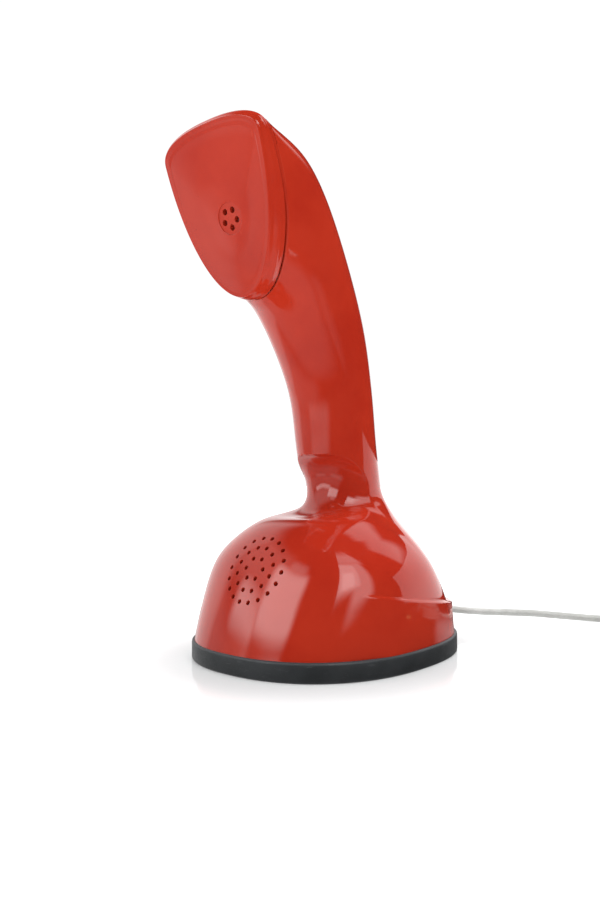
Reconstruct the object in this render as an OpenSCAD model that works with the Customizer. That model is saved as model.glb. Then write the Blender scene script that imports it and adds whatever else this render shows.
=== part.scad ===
// One-piece upright telephone: the dial and the hook switch are under the base.
// +Z is up, the speaking side faces -Y and the line cord leaves at +Y. All sizes in mm.

/* [View] */
// Sub-part to show: all, or the name of one

/* [Shell] */
// Wall thickness of the moulded shell
wall = 3; // [2:0.5:4]
// Points round one ring of the shell
shell_seg = 44; // [32:4:56]
// Rings in each span of the profile
shell_sub = 3; // [1:1:3]
// Depth of the finger recess under the handle
notch_depth = 6; // [3:0.5:7]

/* [Foot] */
// Half width of the foot ring
foot_half_w = 49.1; // [47:0.1:51]
// Height of the foot ring
foot_h = 7.4; // [6:0.1:9]
// Width of the foot ring's rubber band
foot_band = 6; // [5:0.5:7]

/* [Listening face] */
// Squareness of the upper corners
face_n = 2.2; // [2:0.1:3]

/* [Speaking holes] */
// Diameter of a speaking hole
mic_hole_d = 1.8; // [1:0.1:2]
// Spacing of the rings of holes
mic_pitch = 4.45; // [4:0.05:5]

/* [Dial] */
// Radius of the finger wheel
wheel_r = 33.4; // [32:0.1:33.6]
// Radius of a finger hole
finger_hole_r = 6.3; // [5.5:0.1:6.6]
// Radius of the circle of finger holes
finger_circle_r = 24.6; // [24:0.1:25]

/* [Gears] */
// Tooth module
gear_m = 0.8; // [0.8:0.1:0.8]
// Teeth on the main gear
main_teeth = 48; // [48:1:48]
// Teeth on each small pinion
pinion_teeth = 12; // [12:1:12]
// Teeth on the idler's large gear
idler_teeth = 36; // [36:1:36]

/* [Cord] */
// Diameter of the line cord
cord_d = 3.2; // [3:0.1:4]
// Sides of the cord's section
cord_seg = 8; // [6:1:8]

/* [Hidden] */
$fn = 48;

// colours
red = [0.72, 0.13, 0.08];
charcoal = [0.2, 0.22, 0.24];
metal = [0.7, 0.7, 0.72];
brass = [0.75, 0.6, 0.3];
ivory = [0.9, 0.88, 0.8];
grey = [0.7, 0.7, 0.68];

// listening face: an egg of two half ellipses in a plane tilted down by face_tilt
face_tilt = 18.4;
face_c = [0, -47.6, 169.3];
face_half_w = 25.2;
face_widest = 25;
face_top = 34;
// share of the outline's growth that its top edge gets
top_share = 0.6;
face_bottom = -29;
cap_flare = 2.4;
cap_z = -5.55;
face_z = 2.45;
disc_r = 6;

// shell profile from the foot to the head: front line, rear line, half width
front = concat([[-48.5, 7.4], [-44, 19.5], [-36, 37.5], [-29, 48], [-18.5, 55.5],
    [-3.5, 57], [-0.5, 68], [-2, 85], [-4.5, 106], [-13, 122.5], [-22, 134.5],
    [-29, 139.5]], [head_end(face_bottom - cap_flare)]);
rear = concat([[59.5, 7.4], [54.5, 18], [44, 33.5], [40.5, 44.5], [37, 55],
    [34, 66], [31.5, 75.5], [27.5, 88], [23.5, 110], [16, 139.5], [-3.5, 176],
    [-25.5, 197.5]], [head_end(face_top + top_share * cap_flare)]);
half_w = [47.5, 48.3, 46.5, 38, 26.5, 18, 17.2, 18.4, 19.4, 21, 22.9, 24.3,
    face_half_w + cap_flare];
spans = len(front) - 1;

mic_c = [0, -35.7, 37.4];
mic_tilt = 34;

foot_front = 52.7;
foot_rear = 58.4;
foot_y = 2.6;

dial_y = 5.5;
shaft_r = 5;
shaft_bore = 3.2;
rod_r = 2.6;
run = 0.05;
idler_angle = 140;
governor_angle = 36;
main_r = gear_m * main_teeth / 2;
pinion_r = gear_m * pinion_teeth / 2;
idler_r = gear_m * idler_teeth / 2;
idler_d = main_r + pinion_r;
governor_d = idler_r + pinion_r;
idler_x = idler_d * cos(idler_angle);
idler_y = dial_y + idler_d * sin(idler_angle);
governor_x = idler_x + governor_d * cos(governor_angle);
governor_y = idler_y + governor_d * sin(governor_angle);
pillar_r = 30;
pillar_angles = [20, 200, 320];
arm = 14;

exit_z = 13;
cord_r = cord_d / 2;
route = [[0, 46, 13], [0, 53, 13], [0, 60, 13], [1, 65, 12.5], [3, 71, 11.3],
    [7, 78, 9.6], [13, 86, 7.8], [21, 96, 6.4], [29, 107, 5.4], [37, 117, 4.5],
    [45, 125, 3.4], [54, 133, 2.3], [62, 139, 1.7], [71, 145, 1.7],
    [80, 149, 1.7], [91, 150.4, 1.7]];
tail = [[122.4, 119.5, 11.2], [122.4, 113, 10], [122.4, 106, 8],
    [122.4, 99, 6.5], [122.4, 93, 6]];
coil_c = [100, 128];
coil_cols = 3;
coil_rows = 4;
coil_r = 6 * cord_d;
coil_w = coil_cols * cord_d;
coil_h = coil_rows * cord_d;
tie_t = 0.8;
plug_w = 18;
plug_l = 22;

// ---- functions ----
function at(v, i) = i < 0 ? 2 * v[0] - v[1]
    : i >= len(v) ? 2 * v[len(v) - 1] - v[len(v) - 2] : v[i];
function smooth(v, i, t) = 0.5 * (2 * at(v, i)
    + (at(v, i + 1) - at(v, i - 1)) * t
    + (2 * at(v, i - 1) - 5 * at(v, i) + 4 * at(v, i + 1) - at(v, i + 2)) * t * t
    + (3 * at(v, i) - at(v, i - 1) - 3 * at(v, i + 1) + at(v, i + 2)) * t * t * t);
function along(v, s) = let(i = min(floor(s), len(v) - 2)) smooth(v, i, s - i);
function unit(v) = v / norm(v);
function clamp01(t) = max(0, min(1, t));
function spow(a, e) = sign(a) * pow(abs(a), e);

// exponents of the section's front and rear halves, and its widest place
function front_n(s) = 2.3 - 0.3 * clamp01(s / 5);
function ease(t) = let(u = clamp01(t)) u * u * (3 - 2 * u);
function rear_n(s) = 2.45 - 0.45 * clamp01(s / 5) + (face_n - 2) * ease((s - 9.5) / 2.5);
function widest(s) = 0.475 + 0.369 * pow(clamp01((s - 7) / 5), 3);

// point of the listening face's outline at angle a from +X, grown by g
function face_pt(a, g, z) = let(up = sin(a) > 0, n = up ? face_n : 2,
    rise = g > 0 ? top_share * g : g,
    reach = up ? face_top + rise - face_widest : face_widest - face_bottom + g)
    [(face_half_w + g) * spow(cos(a), 2 / n), face_widest + reach * spow(sin(a), 2 / n), z];
// from the listening face's own axes to the telephone's
function face_to_world(p) = let(c = cos(face_tilt), s = sin(face_tilt))
    [p[0], face_c[1] - s * p[1] - c * p[2], face_c[2] + c * p[1] - s * p[2]];
function head_end(v) = let(p = face_to_world([0, v, cap_z])) [p[1], p[2]];

// inward normals of the two profile lines
function tan_at(v, s) = unit(along(v, min(s + 0.05, spans)) - along(v, max(s - 0.05, 0)));
function front_in(s) = s < 0.01 ? [1, 0]
    : s > spans - 0.01 ? [-sin(face_tilt), cos(face_tilt)]
    : let(t = tan_at(front, s)) [t[1], -t[0]];
function rear_in(s) = s < 0.01 ? [-1, 0]
    : s > spans - 0.01 ? [sin(face_tilt), -cos(face_tilt)]
    : let(t = tan_at(rear, s)) [-t[1], t[0]];
function w_in(s) = let(a = max(s - 0.05, 0), b = min(s + 0.05, spans),
    dz = norm(along(front, b) + along(rear, b) - along(front, a) - along(rear, a)) / 2,
    dw = along(half_w, b) - along(half_w, a)) sqrt(1 + min(2, pow(dw / dz, 2)));

// one point of the shell at station s, angle a, set in by t
function section(s, a, t) = let(
    f = along(front, s) + t * front_in(s), r = along(rear, s) + t * rear_in(s),
    w = along(half_w, s) - t * w_in(s), l = norm(r - f), e = (r - f) / l,
    c = widest(s), n = sin(a) < 0 ? front_n(s) : rear_n(s),
    d = sin(a) < 0 ? c * l : (1 - c) * l,
    x = w * spow(cos(a), 2 / n), v = c * l + d * spow(sin(a), 2 / n),
    q = f + e * v)
    [x, q[0], q[1]];

// finger recess under the handle
function recess(p) = let(
    yc = 12.1, r = norm([p[0], p[1] - yc]), k = (yc - p[1]) / r,
    depth = notch_depth * pow(clamp01((k + 0.1) / 1.1), 0.8),
    q = max(0, p[1] + 3.9), h = clamp01((81.8 - 0.0305 * q * q - p[2]) / 26),
    d = depth * sin(180 * pow(h, 0.62)))
    [p[0] - d * p[0] / r, p[1] - d * (p[1] - yc) / r, p[2]];

// straight skirt round the rear of the foot, where the cord leaves
function skirt(p) = p[2] > 20.01 || p[1] < -2.4 ? p : let(
    g = 0.8 - 0.05 * (p[2] - 7.4), n = 2.45,
    u = pow(abs(p[0]) / (47 + g), n), v = pow(abs(p[1] - 2.6) / (56.3 + g), n),
    rho = pow(u + v, 1 / n), k = rho > 0.5 && rho < 1 ? 1 / rho : 1)
    [p[0] * k, 2.6 + (p[1] - 2.6) * k, p[2]];

function shell_ring(s, t) = [for (i = [0 : shell_seg - 1])
    let(p = recess(section(s, 360 * i / shell_seg, t))) t > 0 ? p : skirt(p)];

// superellipse outline of the foot, grown by g
function foot_pt(a, g) = let(n = sin(a) < 0 ? 2.28 : 2.46,
    d = (sin(a) < 0 ? foot_front : foot_rear) + g)
    [(foot_half_w + g) * spow(cos(a), 2 / n), foot_y + d * spow(sin(a), 2 / n)];
function foot_line(g) = [for (i = [0 : 59]) foot_pt(6 * i, g)];

// gear outline with plain tapered teeth
function tooth_pt(r, a) = [r * cos(a), r * sin(a)];
function gear_line(z, m) = let(r = z * m / 2, p = 360 / z) [for (i = [0 : z - 1])
    for (k = [0 : 3]) k == 0 ? tooth_pt(r - 1.15 * m, (i - 0.27) * p)
        : k == 1 ? tooth_pt(r + 0.7 * m, (i - 0.1) * p)
        : k == 2 ? tooth_pt(r + 0.7 * m, (i + 0.1) * p)
        : tooth_pt(r - 1.15 * m, (i + 0.27) * p)];

// frames along a path, for tubes
function path_dir(v, i) = unit(v[min(i + 1, len(v) - 1)] - v[max(i - 1, 0)]);
function path_side(d) = unit(cross(d, abs(d[2]) > 0.9 ? [0, 1, 0] : [0, 0, 1]));
function tube(v, r, n) = [for (i = [0 : len(v) - 1]) tube_ring(v, i, r, n)];
function tube_ring(v, i, r, n) = let(d = path_dir(v, i), u = path_side(d), w = cross(u, d))
    [for (k = [0 : n - 1]) v[i] + r * (cos(360 * k / n) * u + sin(360 * k / n) * w)];

// ---- tools ----
module skin(rings, ring_closed) {
    n = len(rings[0]);
    m = len(rings);
    last = ring_closed ? m - 1 : m - 2;
    sides = [for (k = [0 : last]) for (i = [0 : n - 1])
        let(a = k * n + i, b = k * n + (i + 1) % n,
            c = ((k + 1) % m) * n + i, d = ((k + 1) % m) * n + (i + 1) % n)
        each [[a, c, d], [a, d, b]]];
    lid0 = [[for (i = [0 : n - 1]) i]];
    lid1 = [[for (i = [0 : n - 1]) (m - 1) * n + n - 1 - i]];
    polyhedron(points = [for (r = rings) each r],
        faces = ring_closed ? sides : concat(lid0, sides, lid1), convexity = 8);
}

module at_face() {
    translate(face_c) rotate([90 + face_tilt, 0, 0]) children();
}

module at_mic() {
    translate(mic_c) rotate([90 - mic_tilt, 0, 0]) children();
}

module at_dial() {
    translate([0, dial_y, 0]) children();
}

module at_idler() {
    translate([idler_x, idler_y, 0]) children();
}

module at_governor() {
    translate([governor_x, governor_y, 0]) children();
}

module rod(r, z0, z1) {
    translate([0, 0, z0]) cylinder(r = r, h = z1 - z0);
}

module pipe(r1, r0, z0, z1) {
    difference() {
        rod(r1, z0, z1);
        rod(r0, z0 - 1, z1 + 1);
    }
}

module block(x0, x1, y0, y1, z0, z1) {
    translate([x0, y0, z0]) cube([x1 - x0, y1 - y0, z1 - z0]);
}

module plate(line, z0, z1) {
    translate([0, 0, z0]) linear_extrude(height = z1 - z0) polygon(line);
}

// ---- outer parts ----
module body_shell() {
    steps = spans * shell_sub;
    outer = [for (k = [0 : steps]) shell_ring(k / shell_sub, 0)];
    inner = [for (k = [steps : -1 : 0]) shell_ring(k / shell_sub, wall)];
    color(red) difference() {
        skin(concat(outer, inner), true);
        at_mic() for (ring = [1 : 3])
            for (i = [0 : 6 * ring - 1])
                rotate([0, 0, 60 * i / ring + (ring == 2 ? 15 : 0)])
                    translate([ring * mic_pitch, 0, -7])
                        cylinder(d = mic_hole_d, h = 12, $fn = 16);
        translate([0, 50, exit_z]) rotate([-90, 0, 0]) cylinder(r = 4.5, h = 16);
    }
}

module receiver_cap() {
    n = 48;
    // outline grown by g, drawn in towards the middle disc by 1 - t
    function ring(g, z, t = 1) = [for (i = [0 : n - 1])
        let(a = 360 * i / n, p = face_pt(a, g, z))
        [p[0] * t + disc_r * cos(a) * (1 - t), p[1] * t + disc_r * sin(a) * (1 - t), z]];
    rings = [ring(0, -2.2, 0), ring(0, -0.4, 0.9), ring(-0.6, cap_z + 0.4),
        ring(cap_flare, cap_z + 0.4), ring(1.7, -1.5), ring(1.1, 0.9),
        ring(0.5, 1.9), ring(-0.4, face_z), ring(-1.6, 2.2), ring(0, 1.15, 0.5),
        ring(0, 0, 0)];
    color(red) at_face() difference() {
        skin(rings, false);
        for (i = [0 : 4])
            rotate([0, 0, 72 * i + 54]) translate([3.4, 0, -4]) cylinder(d = 2.4, h = 6, $fn = 16);
    }
}

module receiver_frame() {
    n = 48;
    color(ivory) at_face() difference() {
        plate([for (i = [0 : n - 1]) let(p = face_pt(360 * i / n, -4.4, 0)) [p[0], p[1]]],
            cap_z - 1.6, cap_z + 0.4);
        rod(17, cap_z - 4, cap_z + 4);
    }
}

module receiver_gasket() {
    color(charcoal) at_face() pipe(18.6, 15, cap_z + 0.4, cap_z + 1.4);
}

module receiver_capsule() {
    color(metal) at_face() difference() {
        union() {
            rod(19, cap_z - 9.6, cap_z - 1.6);
            rod(16.8, cap_z - 1.6, cap_z + 0.4);
            rod(12, cap_z - 12.6, cap_z - 9.6);
        }
        for (i = [0 : 5])
            rotate([0, 0, 60 * i]) translate([6, 0, cap_z - 1.5]) cylinder(r = 1, h = 4, $fn = 16);
    }
}

module receiver_contacts() {
    color(brass) at_face() {
        for (s = [-1, 1])
            block(s * 6 - 1.5, s * 6 + 1.5, -4, 4, cap_z - 13.4, cap_z - 12.6);
    }
}

module transmitter_gasket() {
    color(charcoal) at_mic() pipe(15, 13, -6, -5.4);
}

module transmitter_capsule() {
    color(metal) at_mic() {
        rod(17, -12, -6);
        rod(11, -15, -12);
    }
}

module transmitter_retainer() {
    color(metal) at_mic() difference() {
        block(-20, 20, -4, 4, -16.2, -15);
        rod(3, -18, -14);
    }
}

module foot_ring() {
    color(charcoal) difference() {
        plate(foot_line(0), 0, foot_h);
        plate(foot_line(-foot_band), -1, foot_h + 1);
    }
}

module base_plate() {
    color(charcoal) difference() {
        plate(foot_line(-foot_band), 5.4, foot_h);
        at_dial() rod(31, 4, 9);
        base_screw_sites() rod(1.6, 4, 9);
    }
}

module base_screw_sites() {
    for (p = [[0, -40.8], [-19, 47.6], [19, 47.6]])
        translate([p[0], p[1], 0]) children();
}

module base_screws() {
    color(metal) base_screw_sites() difference() {
        union() {
            rod(2.8, 4, 5.4);
            rod(1.6, 5.4, 11);
        }
        block(-3, 3, -0.4, 0.4, 3.5, 4.7);
    }
}

module chassis_ring() {
    color(metal) difference() {
        plate(foot_line(-foot_band), foot_h, 9.4);
        at_dial() rod(36, 5, 12);
        base_screw_sites() rod(1.6, 5, 12);
    }
}

// ---- dial ----
module dial_plate() {
    color(metal) at_dial() difference() {
        rod(36, foot_h, 9.4);
        rod(7.5, 5, 12);
        translate([0, -dial_y, 0]) {
            at_idler() rod(1 + run, 5, 12);
            at_governor() rod(1 + run, 5, 12);
        }
    }
}

module ring_sites() {
    for (a = [45, 135, 225, 300])
        rotate([0, 0, a]) translate([37.2, 0, 0]) children();
}

module number_ring() {
    color(charcoal) at_dial() difference() {
        pipe(40.2, 34, 3.4, 5.4);
        ring_sites() rod(1.2, 2, 6);
    }
}

module ring_screws() {
    color(metal) at_dial() ring_sites() difference() {
        union() {
            rod(1.9, 2.6, 3.4);
            rod(1.2, 3.4, 5.4);
        }
        block(-2, 2, -0.25, 0.25, 2.4, 2.9);
    }
}

module finger_stop() {
    color(metal) at_dial() rotate([0, 0, -30]) {
        block(20, 39.4, -1.6, 1.6, 0.9, 1.9);
        block(35.5, 39.4, -1.6, 1.6, 1.9, 3.4);
    }
}

module finger_wheel() {
    color(red) at_dial() difference() {
        union() {
            rod(wheel_r, 2.2, 4.2);
            rod(10, 4.2, 6.4);
        }
        rod(7.1, 1, 5);
        rod(shaft_bore, 4, 8);
        for (i = [0 : 9])
            rotate([0, 0, 30 * i]) translate([finger_circle_r, 0, 1])
                cylinder(r = finger_hole_r, h = 5);
    }
}

module dial_shaft() {
    color(metal) at_dial() pipe(shaft_r, shaft_bore, 6.4, 23);
}

module bearing_bush() {
    color(brass) at_dial() {
        pipe(7.5, shaft_r + run, foot_h, 17);
    }
}

module main_gear() {
    color(brass) at_dial() difference() {
        rotate([0, 0, idler_angle]) plate(gear_line(main_teeth, gear_m), 18, 20);
        rod(shaft_r, 16, 22);
        for (i = [0 : 3])
            rotate([0, 0, 90 * i + 45]) translate([12, 0, 16]) cylinder(r = 4, h = 6);
    }
}

module impulse_cam() {
    color(ivory) at_dial() difference() {
        rod(7.6, 20, 21.4);
        rod(shaft_r, 18, 23);
        for (i = [0 : 9])
            rotate([0, 0, 30 * i]) translate([8.2, 0, 19]) cylinder(r = 1.2, h = 4, $fn = 16);
    }
}

module impulse_springs() {
    color(brass) at_dial() {
        block(14.6, 15, -20, -2, 21.2, 25.4);
        block(16, 16.4, -20, -4, 21.2, 25.4);
    }
    color(ivory) at_dial() {
        block(13.4, 14.6, -22, -15, 20.8, 26);
        block(15, 16, -22, -15, 20.8, 26);
        block(16.4, 17.6, -22, -15, 20.8, 26);
    }
}

module mainspring() {
    turns = 4;
    steps = 20 * turns;
    function arc(i, g) = let(a = 18 * i, r = 8.3 + 1.4 * i / 20 + g) [r * cos(a), r * sin(a)];
    color(metal) at_dial() plate(concat([for (i = [0 : steps]) arc(i, 0)],
        [for (i = [steps : -1 : 0]) arc(i, 0.5)]), 9.4, 16);
}

module idler_arbor() {
    color(metal) at_idler() {
        rod(1, 7.8, 27.4);
        rod(1.4, 9.6, 25.8);
    }
}

module idler_pinion() {
    color(brass) at_idler() difference() {
        rotate([0, 0, idler_angle + 180 + 180 / pinion_teeth])
            plate(gear_line(pinion_teeth, gear_m), 17.8, 20.2);
        rod(1.4, 16, 22);
    }
}

module idler_gear() {
    color(brass) at_idler() difference() {
        rotate([0, 0, governor_angle]) plate(gear_line(idler_teeth, gear_m), 22, 23.6);
        rod(1.4, 20, 26);
    }
}

module governor_arbor() {
    color(brass) at_governor() {
        rod(1, 7.8, 27.4);
        rod(1.4, 9.6, 25.8);
        rotate([0, 0, governor_angle + 180 + 180 / pinion_teeth])
            plate(gear_line(pinion_teeth, gear_m), 21.8, 23.8);
    }
}

module governor_weights() {
    color(metal) at_governor() difference() {
        union() {
            block(-5, 5, -2.4, 2.4, 11.4, 12.6);
            for (s = [-1, 1])
                translate([5 * s, 0, 0]) rod(1.6, 11.4, 14.6);
        }
        rod(1.4, 10, 16);
    }
}

module governor_cup() {
    color(metal) at_governor() pipe(8.6, 7.4, 9.4, 16);
}

module pillar_sites() {
    for (a = pillar_angles)
        rotate([0, 0, a]) translate([pillar_r, 0, 0]) children();
}

module bridge_pillars() {
    color(metal) at_dial() pillar_sites() rod(2.4, 9.4, 26);
}

module dial_bridge() {
    color(metal) difference() {
        at_dial() rod(33, 26, 27.6);
        block(-40, 40, -40, -17.5, 24, 30);
        at_dial() rod(6.6, 24, 30);
        at_idler() rod(1 + run, 24, 30);
        at_governor() rod(1 + run, 24, 30);
    }
}

// ---- hook switch ----
module hook_bracket() {
    color(metal) at_dial() difference() {
        union() {
            block(-18, -16.6, -6, 6, 27.6, 46);
            block(8.6, 10, -6, 6, 27.6, 50);
            block(-16.6, 8.6, -6, 6, 36.6, 38);
            block(-16.6, -12.4, -6, -4.6, 38, 47);
            block(-16.6, -12.4, 4.6, 6, 38, 47);
        }
        rod(rod_r + run, 34, 40);
        translate([-arm, -8, 44.8]) rotate([-90, 0, 0]) cylinder(r = 1.2, h = 16);
    }
}

module plunger_button() {
    color(red) at_dial() rotate_extrude()
        polygon([[0, 0], [5, 0], [6.1, 0.4], [6.6, 1.2], [6.6, 4.4], [0, 4.4]]);
}

module plunger_rod() {
    color(metal) at_dial() {
        rod(rod_r, 4.4, 42.6);
        translate([0, 0, 42.6]) cylinder(r1 = rod_r, r2 = 0.5, h = 0.9);
        pipe(4.6, rod_r, 27.6, 28.8);
    }
}

module plunger_spring() {
    n = 72;
    path = [for (i = [0 : n]) [3.7 * cos(30 * i), 3.7 * sin(30 * i), 29.2 + 6.8 * i / n]];
    color(metal) at_dial() skin(tube(path, 0.35, 6), false);
}

module hook_lever() {
    color(ivory) at_dial() difference() {
        union() {
            block(-arm, 4, -3, 3, 44, 45.6);
            translate([-arm, -3, 44.8]) rotate([-90, 0, 0]) cylinder(r = 2.2, h = 6);
        }
        translate([-arm, -8, 44.8]) rotate([-90, 0, 0]) cylinder(r = 1.2 + run, h = 16);
    }
}

module hook_pin() {
    color(metal) at_dial()
        translate([-arm, -6.4, 44.8]) rotate([-90, 0, 0]) cylinder(r = 1.2, h = 12.8);
}

module hook_contacts() {
    color(brass) at_dial() {
        block(-6, 8.6, -3, 3, 46.4, 46.8);
        block(-4, 8.6, -3, 3, 48, 48.4);
    }
    color(ivory) at_dial() {
        block(4.6, 8.6, -3, 3, 46.8, 48);
        block(4.6, 8.6, -3, 3, 48.4, 49.6);
    }
}

// ---- circuit ----
module terminal_block() {
    color(ivory) difference() {
        block(-12, 12, 27, 34, 27.6, 33.6);
        terminal_sites() rod(1.1, 29, 35);
    }
}

module terminal_sites() {
    for (i = [0 : 3])
        translate([-9 + 6 * i, 30.5, 0]) children();
}

module terminal_screws() {
    color(brass) terminal_sites() {
        rod(1.1, 29, 33.6);
        difference() {
            rod(2, 33.6, 35);
            block(-2.5, 2.5, -0.3, 0.3, 34.4, 36);
        }
    }
}

module coil_core() {
    color(metal) {
        block(22, 27, -6, 12, 32, 37.6);
        block(18, 31, -6, -4, 27.6, 42);
        block(18, 31, 10, 12, 27.6, 42);
    }
}

module coil_winding() {
    color([0.62, 0.35, 0.18]) difference() {
        block(18.6, 30.4, -3.9, 9.9, 28.2, 41.4);
        block(21.9, 27.1, -5, 11, 31.9, 37.7);
    }
}

module capacitor() {
    color(ivory) translate([-24, -4, 33.6]) rotate([-90, 0, 0]) cylinder(r = 6, h = 20);
}

module cord_grommet() {
    color(charcoal) translate([0, 55.3, exit_z]) rotate([-90, 0, 0]) difference() {
        union() {
            cylinder(r = 4.4, h = 5.3);
            translate([0, 0, 4.5]) cylinder(r = 5.2, h = 0.8);
        }
        translate([0, 0, -1]) cylinder(r = cord_r + 0.1, h = 8);
    }
}

module cord_clamp() {
    color(metal) difference() {
        block(-7, 7, 45.5, 50.5, 9.4, 17);
        translate([0, 40, exit_z]) rotate([-90, 0, 0]) cylinder(r = cord_r + 0.1, h = 12);
    }
}

module receiver_leads() {
    line = [[5, 30, 36], [5, 27, 48], [4, 20, 62], [3, 16, 80], [3, 13, 98],
        [3, 5, 116], [3, -7, 134], [3, -18, 152], [4, -24, 164], [6, -27.6, 172.5]];
    for (s = [-1, 1])
        color(s > 0 ? red : ivory)
            skin(tube([for (p = line) [s * p[0], p[1], p[2]]], 0.8, 6), false);
}

// ---- line cord ----
module cord_lead() {
    color(grey) skin(tube(route, cord_r, cord_seg), false);
}

module cord_tail() {
    color(grey) skin(tube(tail, cord_r, cord_seg), false);
}

module cord_coil() {
    color(grey) translate([coil_c[0], coil_c[1], 0]) rotate_extrude()
        translate([coil_r - coil_w / 2, 0]) square([coil_w, coil_h]);
}

module coil_tie() {
    color(charcoal) translate([coil_c[0] + coil_r, coil_c[1], 0]) difference() {
        block(-coil_w / 2 - tie_t, coil_w / 2 + tie_t, -3, 3, 0, coil_h + tie_t);
        translate([-coil_r, 0, 0]) rotate_extrude()
            translate([coil_r - coil_w / 2 - 0.05, -1]) square([coil_w + 0.1, coil_h + 1.05]);
    }
}

module at_plug() {
    translate(tail[len(tail) - 1]) children();
}

module cord_plug() {
    color(charcoal) at_plug() block(-plug_w / 2, plug_w / 2, -plug_l, 0, -6, 6);
}

module plug_pins() {
    color(brass) at_plug() for (x = [-5, 0, 5])
        translate([x, -plug_l, 0]) rotate([90, 0, 0]) cylinder(r = 1.6, h = 12);
}

body_shell();
receiver_cap();
receiver_frame();
receiver_capsule();
receiver_gasket();
receiver_contacts();
transmitter_capsule();
transmitter_gasket();
transmitter_retainer();
foot_ring();
base_plate();
base_screws();
chassis_ring();
dial_plate();
number_ring();
ring_screws();
finger_stop();
finger_wheel();
dial_shaft();
bearing_bush();
main_gear();
impulse_cam();
impulse_springs();
mainspring();
idler_arbor();
idler_pinion();
idler_gear();
governor_arbor();
governor_weights();
governor_cup();
dial_bridge();
bridge_pillars();
hook_bracket();
plunger_button();
plunger_rod();
plunger_spring();
hook_lever();
hook_pin();
hook_contacts();
terminal_block();
terminal_screws();
coil_core();
coil_winding();
capacitor();
cord_grommet();
cord_clamp();
receiver_leads();
cord_lead();
cord_coil();
coil_tie();
cord_tail();
cord_plug();
plug_pins();
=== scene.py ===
"""Looks of the one-piece telephone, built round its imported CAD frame.

The hollow handset, its receiver cap, the rubber foot, the dial's figures and
the line cord with its plug are made here. Their driving dimensions are in
millimetres, as in the CAD, and their meshes in metres. Everything else is the
CAD's own mesh with a finish.
"""

import math

import bmesh
import bpy
import numpy as np
from mathutils import Matrix, Vector


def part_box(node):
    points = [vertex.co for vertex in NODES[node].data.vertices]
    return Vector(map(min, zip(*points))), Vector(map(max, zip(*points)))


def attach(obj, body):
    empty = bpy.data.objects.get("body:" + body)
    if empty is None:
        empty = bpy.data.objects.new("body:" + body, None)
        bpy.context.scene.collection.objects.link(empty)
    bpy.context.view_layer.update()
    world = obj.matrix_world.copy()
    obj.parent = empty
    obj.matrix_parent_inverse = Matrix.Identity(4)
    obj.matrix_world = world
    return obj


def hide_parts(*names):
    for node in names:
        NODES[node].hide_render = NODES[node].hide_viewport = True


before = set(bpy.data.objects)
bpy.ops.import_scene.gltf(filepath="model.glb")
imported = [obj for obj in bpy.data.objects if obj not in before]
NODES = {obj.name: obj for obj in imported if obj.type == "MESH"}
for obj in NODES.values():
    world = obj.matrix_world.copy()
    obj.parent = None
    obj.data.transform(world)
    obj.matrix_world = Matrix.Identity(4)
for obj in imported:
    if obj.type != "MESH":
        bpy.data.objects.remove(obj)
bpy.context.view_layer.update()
MM = 0.001

# ---- camera ----
CAM_PLACE = (0.22126, -0.25305, 0.0740)
CAM_TURN = math.radians(42.3)  # about Z, from looking along +Y
CAM_RISE = math.radians(1.6)  # how far it looks above the horizon
CAM_ROLL = math.radians(-0.48)
CAM_LENS = 32.44


def make_camera():
    """The camera, a little right of the telephone's front and near its middle height."""
    ct, st = math.cos(CAM_TURN), math.sin(CAM_TURN)
    cr, sr = math.cos(CAM_RISE), math.sin(CAM_RISE)
    right = Vector((ct, st, 0.0))
    ahead = Vector((-st * cr, ct * cr, sr))
    up = right.cross(ahead)
    cw, sw = math.cos(CAM_ROLL), math.sin(CAM_ROLL)
    x_axis = cw * right + sw * up
    y_axis = cw * up - sw * right
    data = bpy.data.cameras.new("camera")
    data.sensor_fit = "VERTICAL"
    data.sensor_height = 36.0
    data.lens = CAM_LENS
    cam = bpy.data.objects.new("camera", data)
    bpy.context.scene.collection.objects.link(cam)
    turn = Matrix((x_axis, y_axis, -ahead)).transposed().to_4x4()
    cam.matrix_world = Matrix.Translation(CAM_PLACE) @ turn
    bpy.context.scene.camera = cam


# ---- node helpers ----
class Nodes:
    """A node tree, with short calls for the nodes used here."""

    def __init__(self, tree):
        self.tree = tree

    def node(self, kind, **settings):
        made = self.tree.nodes.new(kind)
        for key, value in settings.items():
            setattr(made, key, value)
        return made

    def link(self, a, b):
        self.tree.links.new(a, b)

    def ramp(self, value, low, high, out_low, out_high):
        """Smooth step of value from low to high, giving out_low to out_high."""
        m = self.node("ShaderNodeMapRange", interpolation_type="SMOOTHSTEP")
        m.inputs["From Min"].default_value = low
        m.inputs["From Max"].default_value = high
        m.inputs["To Min"].default_value = out_low
        m.inputs["To Max"].default_value = out_high
        self.link(value, m.inputs["Value"])
        return m.outputs["Result"]

    def maths(self, how, a, b=None):
        """A sum on one or two values, each a number or a socket."""
        m = self.node("ShaderNodeMath", operation=how)
        for i, v in enumerate((a, b)):
            if v is None:
                continue
            if isinstance(v, (int, float)):
                m.inputs[i].default_value = v
            else:
                self.link(v, m.inputs[i])
        return m.outputs[0]


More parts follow.
